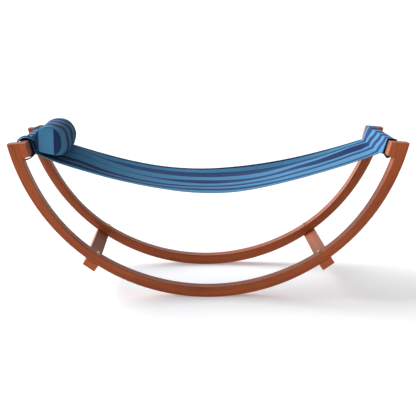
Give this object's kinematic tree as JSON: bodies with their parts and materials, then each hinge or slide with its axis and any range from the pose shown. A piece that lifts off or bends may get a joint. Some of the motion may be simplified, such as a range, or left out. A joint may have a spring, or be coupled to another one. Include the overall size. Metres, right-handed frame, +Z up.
{
  "type": "hammock on stand",
  "caption": "Rocking garden hammock: a striped cloth sling between two bent wooden rails, with a bolster pillow looped over the head crossbar.",
  "frame": {"origin": "on the floor under the middle of the object, where the rails touch it", "axes": "+X from the head end to the foot end, +Y from the front rail to the back rail, +Z up"},
  "size_m": [1.998, 0.75, 0.8515],
  "materials": {
    "rail_wood": "satin stain",
    "board_wood": "satin stain",
    "yellow_zinc": "satin plated",
    "insert_brass": "plain",
    "sling_cloth": "woven stripes",
    "sling_binding": "woven tape",
    "bed_binding": "woven tape",
    "pillow_cloth": "woven stripes",
    "pillow_filling": "soft fibre"
  },
  "bodies": {
    "stand": {"front_rail": "rail_wood", "back_rail": "rail_wood", "head_crossbar": "board_wood", "head_crossbar_bolts": "yellow_zinc", "head_crossbar_inserts": "insert_brass", "head_crossbar_washers": "yellow_zinc", "head_stretcher": "board_wood", "head_stretcher_bolts": "yellow_zinc", "head_stretcher_washers": "yellow_zinc", "head_stretcher_nuts": "yellow_zinc", "head_sleeve": "sling_cloth", "head_sleeve_bindings": "sling_binding", "foot_crossbar": "board_wood", "foot_crossbar_bolts": "yellow_zinc", "foot_crossbar_inserts": "insert_brass", "foot_crossbar_washers": "yellow_zinc", "foot_stretcher": "board_wood", "foot_stretcher_bolts": "yellow_zinc", "foot_stretcher_washers": "yellow_zinc", "foot_stretcher_nuts": "yellow_zinc", "foot_sleeve": "sling_cloth", "foot_sleeve_bindings": "sling_binding", "sling_bed": "sling_cloth", "bed_edge_bindings": "bed_binding"},
    "pillow": {"pillow_body_panel": "pillow_cloth", "pillow_end_panels": "pillow_cloth", "pillow_filling": "pillow_filling", "pillow_loop_front": "pillow_cloth", "pillow_loop_back": "pillow_cloth", "pillow_loop_bindings": "sling_binding"}
  },
  "joints": [
    {"name": "pillow_flip", "type": "hinge", "parent": "stand", "child": "pillow", "pos_m": [-0.91644, 0, 0.75529], "axis": [0, -1, 0], "range_deg": [0, 250]}
  ]
}
